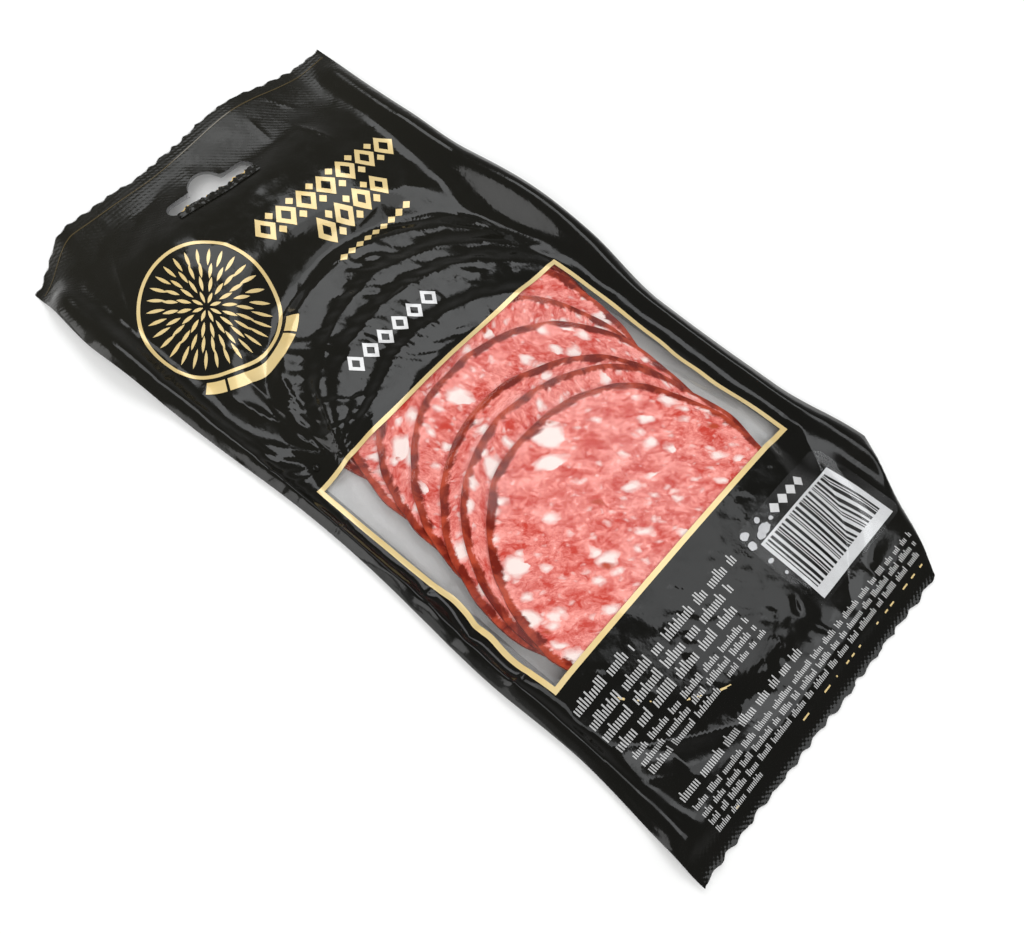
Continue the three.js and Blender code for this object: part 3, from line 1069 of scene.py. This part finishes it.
def add_arc(name, centre, inner, outer, start, end, cells):
    """A flat ring or part of one, from a start angle to an end angle in degrees."""
    piece = add_sheet(name, start, end, inner, outer, cells, max(2, round((outer - inner) / 0.6)))
    places = points_of(piece)
    angle = np.radians(places[:, 0])
    reach = places[:, 1].copy()
    places[:, 0] = centre[0] + reach * np.cos(angle)
    places[:, 1] = centre[1] + reach * np.sin(angle)
    move_points(piece, places)
    merge_points(piece)
    face_up(piece)
    return piece


def face_up(piece):
    """Turns a flat piece's faces towards +Z."""
    select_only(piece)
    middles = np.empty(len(piece.data.polygons) * 3)
    piece.data.polygons.foreach_get("normal", middles)
    if middles.reshape(-1, 3)[:, 2].mean() < 0:
        edit(piece, (bpy.ops.mesh.flip_normals, {}))


def add_lozenge(name, place, half_width, half_height):
    bpy.ops.object.select_all(action="DESELECT")
    centre = (place[0] * MM, place[1] * MM, 0)
    bpy.ops.mesh.primitive_circle_add(vertices=4, radius=1, fill_type="NGON", location=centre)
    return take_new(name, (half_width * MM, half_height * MM, 1))


def add_lozenges(name, left, right, y, count, half_height, line, between=0.0):
    """A row of lozenges of equal width, open if they have a line width, with solid ones between."""
    pitch = (right - left) / count
    pieces = []
    for k in range(count - 1 if between else 0):
        for side in (-1, 1):
            place = (left + (k + 1) * pitch, y + side * (half_height - between))
            pieces.append(add_lozenge(f"{name}_between_{k}", place, between, between))
    for k in range(count):
        piece = add_lozenge(f"{name}_{k}", (left + (k + 0.5) * pitch, y), 0.47 * pitch, half_height)
        if line:
            inset = (bpy.ops.mesh.inset, {"thickness": line * MM, "depth": 0})
            edit(piece, inset, (bpy.ops.mesh.delete, {"type": "FACE"}))
        pieces.append(piece)
    row = join(pieces, name)
    edit(row, (bpy.ops.mesh.subdivide, {"number_cuts": 4}))
    face_up(row)
    return row


EMBLEM = (-32.0, 73.5)


class PACK_OT_gold_print(bpy.types.Operator):
    """Gold print: a ring with a leaf rosette, a broken band and rows of lozenges"""

    bl_idname = "salami_pack.gold_print"
    bl_label = "Gold print"

    def execute(self, context):
        gold = bpy.data.materials["gold_ink_under_film"]
        ring = add_arc("emblem_ring", EMBLEM, 18.7, 19.8, 0, 360, 220)
        blocks = []
        for k, (start, end) in enumerate(((-136, -122), (-120, -60), (-58, -44))):
            cells = round((end - start) / 1.5)
            blocks.append(add_arc(f"band_{k}", EMBLEM, 21.0, 24.8, start, end, cells))
        marks = (
            ring,
            join(blocks, "emblem_band"),
            self.rosette(),
            add_lozenges("gold_lozenges_large", -6.9, 49.5, 80.3, 7, 4.4, 1.5, 1.5),
            add_lozenges("gold_lozenges_short", 7.6, 37.0, 70.3, 4, 4.1, 1.5, 1.4),
            add_lozenges("gold_lozenges_small", 6.8, 36.6, 60.6, 9, 1.3, 0),
        )
        for mark in marks:
            thin_mark(mark, gold)
        dull = flat_ink_material("thin_gold_ink_in_seal", colours().dull_gold)
        crimp = add_sheet("hang_seal_line", -58.5, 58.5, 119.9, 120.25, 170, 1)
        thin_mark(crimp, dull, "seal line")
        # Painted glints: broken gold ink marks along the far rim's crumple and along the far seal stand in
        # for highlights.
        far_rim = add_arc("far_rim_glints", (-3.0, -61.6), 43.2, 43.7, -152, -78, 130)
        seal = add_sheet("far_seal_glints", -56, 39, -119.9, -119.5, 240, 1)
        for place, seed in ((far_rim, 71), (seal, 72)):
            middle = centres_of(place)
            fine = ripple(middle[:, 0], middle[:, 1], 1.2, seed)
            broad = ripple(middle[:, 0], middle[:, 1], 16, seed + 9)
            delete_faces(place, fine * broad < 0.16)
            thin_mark(place, gold, "seal line")
        return {"FINISHED"}

    def rosette(self):
        """Narrow leaves in four rings round the emblem's middle."""
        leaves = []
        rings = ((30, 14.2, 5.6, 0.95), (24, 10.0, 4.6, 0.95), (16, 6.2, 4.2, 0.95), (8, 2.6, 3.2, 0.9))
        for count, reach, length, width in rings:
            for k in range(count):
                turn = 2 * math.pi * (k + 0.5) / count
                leaf = add_sheet("leaf", -length / 2, length / 2, -1, 1, 8, 2)
                places = points_of(leaf)
                along = places[:, 0] / (length / 2)
                places[:, 1] *= width / 2 * (1 - along**2)
                x = places[:, 0] + reach
                y = places[:, 1].copy()
                places[:, 0] = EMBLEM[0] + x * math.cos(turn) - y * math.sin(turn)
                places[:, 1] = EMBLEM[1] + x * math.sin(turn) + y * math.cos(turn)
                move_points(leaf, places)
                leaves.append(leaf)
        rosette = join(leaves, "emblem_rosette")
        merge_points(rosette)
        face_up(rosette)
        return rosette


# Lines of small print: middle y, left, right and height.
SMALL_PRINT = [
    (-77.2, -50.3, -29.0, 3.0),
    (-82.2, -50.3, 6.0, 3.0),
    (-86.2, -50.3, -0.6, 3.0),
    (-90.2, -50.0, -4.4, 3.0),
    (-94.3, -49.0, -4.4, 1.9),
    (-96.9, -49.0, -4.5, 1.9),
    (-99.6, -49.0, -21.5, 1.9),
    (-99.4, -19.0, -3.9, 1.6),
    (-108.7, -49.4, -1.5, 2.5),
    (-112.4, -49.0, 43.0, 1.6),
    (-114.7, -49.0, 42.0, 1.6),
    (-117.0, -49.0, 40.0, 1.6),
    (-119.2, -49.0, -31.6, 1.5),
]


class PACK_OT_white_print(bpy.types.Operator):
    """White print: rows of lozenges, and broken lines in place of small print"""

    bl_idname = "salami_pack.white_print"
    bl_label = "White print"

    def execute(self, context):
        white = flat_ink_material("white_ink_under_film", colours().white_ink)
        grey = flat_ink_material("grey_ink_under_film", colours().grey_ink)
        large = add_lozenges("white_lozenges_large", -19.2, 16.0, 30.5, 6, 3.5, 1.1)
        thin_mark(large, white)
        short = add_lozenges("white_lozenges_small", 22.2, 37.0, -82.3, 4, 1.7, 0)
        thin_mark(short, white)
        random = np.random.default_rng(sizes().text_ticks)
        lines = [self.broken_line(k, line, random) for k, line in enumerate(SMALL_PRINT)]
        thin_mark(join(lines, "small_print"), grey)
        return {"FINISHED"}

    def broken_line(self, number, line, random):
        """Short upright strokes in groups, of two heights."""
        y, left, right, height = line
        pitch = 0.27 * height if height > 2 else 0.34 * height
        strokes = round((right - left) / pitch)
        piece = add_sheet(f"line_{number}", left, right, y - height / 2, y + height / 2, 2 * strokes, 3)
        middle = centres_of(piece)
        columns = 2 * strokes
        column = ((middle[:, 0] - left) / (right - left) * columns).astype(int)
        column = np.clip(column, 0, columns - 1)
        row = np.clip(((middle[:, 1] - y + height / 2) / height * 3).astype(int), 0, 2)
        gap = np.ones(strokes, bool)
        tall = random.random(strokes) < 0.35
        k = 0
        while k < strokes:
            group = int(random.integers(4, 14))
            gap[k : k + group] = False
            k += group + 2
        stroke = column // 2
        drop = (column % 2 == 1) | gap[stroke] | ((row == 2) & ~tall[stroke])
        delete_faces(piece, drop)
        return piece


class PACK_OT_label(bpy.types.Operator):
    """Label: a clear sticker over a pale panel with upright bars"""

    bl_idname = "salami_pack.label"
    bl_label = "Label"

    def execute(self, context):
        low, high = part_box(LABEL_NODE)
        left, bottom = low.x / MM, low.y / MM
        right, top = high.x / MM, high.y / MM
        panel = add_sheet("bar_panel", left + 3.3, right - 2.8, bottom + 1.0, top - 6.2, 44, 30)
        pale = flat_ink_material("pale_panel_ink", colours().panel_ink)
        thin_mark(panel, pale, "panel", LABEL_NODE)
        dark = flat_ink_material("black_bar_ink", colours().black_ink)
        bars = self.bars(left + 4.4, right - 4.0, bottom + 4.0, top - 6.9)
        thin_mark(bars, dark, "bars", LABEL_NODE)
        spots = self.spots(left, top)
        air = flat_ink_material("air_under_the_sticker", colours().air)
        thin_mark(spots, air, "air", LABEL_NODE)
        sticker = add_sheet("sticker", left, right, bottom, top, 72, 54)
        self.round_corners(sticker, left, right, bottom, top, 3.0)
        thicken(sticker, 0.08 * MM)
        lay(sticker, above=OVER_FILM["sticker"])
        clear = clear_film_material("clear_label_film", 0.02, 0.01)
        finish_piece(sticker, clear, LABEL_NODE)
        return {"FINISHED"}

    def spots(self, left, top):
        """Round and long spots of trapped air, round the sticker's upper left corner."""
        spots = (
            (7.9, -1.6, 0.9, 0.8),
            (2.0, -1.9, 1.3, 0.9),
            (1.3, -5.0, 1.4, 0.8),
            (7.4, -4.3, 2.2, 0.55),
            (5.3, -4.9, 1.1, 0.9),
            (1.5, -10.8, 0.8, 0.7),
            (11.0, -3.8, 0.7, 0.8),
            (1.9, -15.5, 0.5, 0.9),
        )
        discs = []
        for k, (over, up, radius, flatness) in enumerate(spots):
            bpy.ops.object.select_all(action="DESELECT")
            bpy.ops.mesh.primitive_circle_add(vertices=18, radius=radius * MM, fill_type="TRIFAN")
            disc = take_new(f"air_spot_{k}", (1.0, flatness, 1.0))
            places = points_of(disc)
            wobble = 1 + 0.25 * ripple(places[:, 0] * 2 + 9 * k, places[:, 1] * 2, 1.4, 90 + k)
            places[:, 0] = places[:, 0] * wobble + left + over
            places[:, 1] = places[:, 1] * wobble + top + up
            move_points(disc, places)
            discs.append(disc)
        return join(discs, "air_spots")

    def bars(self, left, right, low, high):
        """Upright bars of mixed width, from a plain repeating rule."""
        modules = 95
        piece = add_sheet("panel_bars", left, right, low, high, modules, 18)
        middle = centres_of(piece)
        module = ((middle[:, 0] - left) / (right - left) * modules).astype(int)
        dark = np.zeros(modules, bool)
        k = 0
        step = 0
        while k < modules:
            width = 1 + (step * step + step // 3) % 3
            dark[k : k + width] = step % 2 == 0
            k += width
            step += 1
        delete_faces(piece, ~dark[np.clip(module, 0, modules - 1)])
        return piece

    def round_corners(self, piece, left, right, low, high, radius):
        places = points_of(piece)
        core_x = np.clip(places[:, 0], left + radius, right - radius)
        core_y = np.clip(places[:, 1], low + radius, high - radius)
        over_x = places[:, 0] - core_x
        over_y = places[:, 1] - core_y
        reach = np.hypot(over_x, over_y)
        square = np.maximum(np.abs(over_x), np.abs(over_y))
        share = np.where(reach > 0, square / np.maximum(reach, 1e-6), 1)
        places[:, 0] = core_x + over_x * share
        places[:, 1] = core_y + over_y * share
        move_points(piece, places)


# ---- operators: the stage -----------------------------------------------------------------------

# The camera, from the outline, the window and the print as they lie in the photograph.
CAMERA_AZIMUTH = -48.707
CAMERA_ELEVATION = 64.536
CAMERA_DISTANCE = 293.258
CAMERA_TARGET = (-9.687, -21.4, 0.0)
FOCAL_PIXELS = 1083.22
PICTURE_WIDTH = 1024
SENSOR_WIDTH = 36.0


class PACK_OT_studio(bpy.types.Operator):
    """Studio: pale floor, soft light and the camera"""

    bl_idname = "salami_pack.studio"
    bl_label = "Studio"

    def execute(self, context):
        bpy.ops.object.select_all(action="DESELECT")
        bpy.ops.mesh.primitive_plane_add(size=6)
        floor = take_new("studio_floor")
        floor.data.materials.append(floor_material())
        self.softboxes()
        self.fill()
        self.world(context.scene)
        self.camera(context.scene)
        context.scene.view_settings.view_transform = "Standard"
        return {"FINISHED"}

    def area_lamp(self, name, place, size, power, turn=(0, 0, 0)):
        bpy.ops.object.light_add(type="AREA", location=place, rotation=turn)
        lamp = bpy.context.object
        lamp.name = name
        lamp.data.shape = "RECTANGLE"
        lamp.data.size, lamp.data.size_y = size
        lamp.data.energy = power
        return lamp

    def softboxes(self):
        """Two overhead boxes end to end, the far one dimmer, and a low one at the side. In metres."""
        spans = (
            ("main_softbox", -0.05, 0.62, studio().softbox),
            ("far_softbox", -0.36, -0.05, studio().far_softbox),
        )
        for name, low, high, power in spans:
            lamp = self.area_lamp(name, (0.265, (low + high) / 2, 0.7), (0.33, high - low), power)
            lamp.data.color = (0.96, 0.98, 1.0)
        place = Vector((-0.75, 0.5, 0.3))
        turn = place.to_track_quat("Z", "Y").to_euler()
        self.area_lamp("side_softbox", place, (0.6, 0.4), studio().side, turn)

    def fill(self):
        """A broad even light from above that no gloss mirrors."""
        bpy.ops.object.light_add(type="SUN", rotation=(math.radians(26), math.radians(-24), 0))
        lamp = bpy.context.object
        lamp.name = "broad_fill"
        lamp.data.energy = studio().sun
        lamp.data.angle = math.radians(50)
        lamp.visible_glossy = False

    def world(self, scene):
        """A soft even room. In gloss it is bright near the floor and dark overhead."""
        scene.world = bpy.data.worlds.new("studio_room")
        scene.world.use_nodes = True
        tree = scene.world.node_tree
        tree.nodes.clear()
        white = (1, 1, 1, 1)
        place = add_node(tree, "TexCoord")
        split = add_node(tree, "SeparateXYZ", {0: place.outputs["Generated"]})
        rise = add_node(
            tree, "MapRange",
            {
                "Value": split.outputs["Z"], "From Max": 0.62, "To Min": studio().horizon,
                "To Max": studio().ceiling,
            },
            interpolation_type="SMOOTHSTEP",
        )
        dark = add_node(tree, "Background", {"Color": white, "Strength": rise})
        even = add_node(tree, "Background", {"Color": white, "Strength": studio().room})
        seen = add_node(tree, "LightPath")
        mix = add_node(tree, "MixShader", {"Fac": seen.outputs["Is Glossy Ray"], 1: even, 2: dark})
        add_node(tree, "OutputWorld", {"Surface": mix})

    def camera(self, scene):
        azimuth = math.radians(CAMERA_AZIMUTH)
        elevation = math.radians(CAMERA_ELEVATION)
        level = math.cos(elevation)
        back = Vector((math.sin(azimuth) * level, -math.cos(azimuth) * level, math.sin(elevation)))
        place = (Vector(CAMERA_TARGET) + back * CAMERA_DISTANCE) * MM
        bpy.ops.object.camera_add(location=place, rotation=back.to_track_quat("Z", "Y").to_euler())
        camera = bpy.context.object
        camera.data.sensor_width = SENSOR_WIDTH
        camera.data.lens = FOCAL_PIXELS / PICTURE_WIDTH * SENSOR_WIDTH
        camera.data.clip_start = 0.01
        scene.camera = camera


# ---- the add-on's panel and registration --------------------------------------------------------


class PACK_PT_panel(bpy.types.Panel):
    """Lists the pack's pieces, sizes and colours"""

    bl_label = "Salami pack"
    bl_idname = "PACK_PT_panel"
    bl_space_type = "VIEW_3D"
    bl_region_type = "UI"
    bl_category = "Salami pack"

    def draw(self, context):
        for group in (sizes(), colours(), studio()):
            box = self.layout.box()
            for name in group.__annotations__:
                box.prop(group, name)
        for operator in OPERATORS:
            self.layout.operator(operator.bl_idname)


OPERATORS = (
    PACK_OT_front,
    PACK_OT_back,
    PACK_OT_slices,
    PACK_OT_torn_flap,
    PACK_OT_gold_print,
    PACK_OT_white_print,
    PACK_OT_label,
    PACK_OT_studio,
)
CLASSES = (PackSizes, PackColours, StudioLight, *OPERATORS, PACK_PT_panel)


def register():
    for item in CLASSES:
        bpy.utils.register_class(item)
    bpy.types.Scene.salami_pack_sizes = bpy.props.PointerProperty(type=PackSizes)
    bpy.types.Scene.salami_pack_colours = bpy.props.PointerProperty(type=PackColours)
    bpy.types.Scene.salami_pack_light = bpy.props.PointerProperty(type=StudioLight)


def unregister():
    del bpy.types.Scene.salami_pack_light
    del bpy.types.Scene.salami_pack_colours
    del bpy.types.Scene.salami_pack_sizes
    for item in reversed(CLASSES):
        bpy.utils.unregister_class(item)


def main():
    register()
    bpy.ops.salami_pack.studio()
    bpy.ops.salami_pack.front()
    bpy.ops.salami_pack.back()
    bpy.ops.salami_pack.slices()
    bpy.ops.salami_pack.torn_flap()
    bpy.ops.salami_pack.gold_print()
    bpy.ops.salami_pack.white_print()
    bpy.ops.salami_pack.label()


if __name__ == "__main__":
    main()
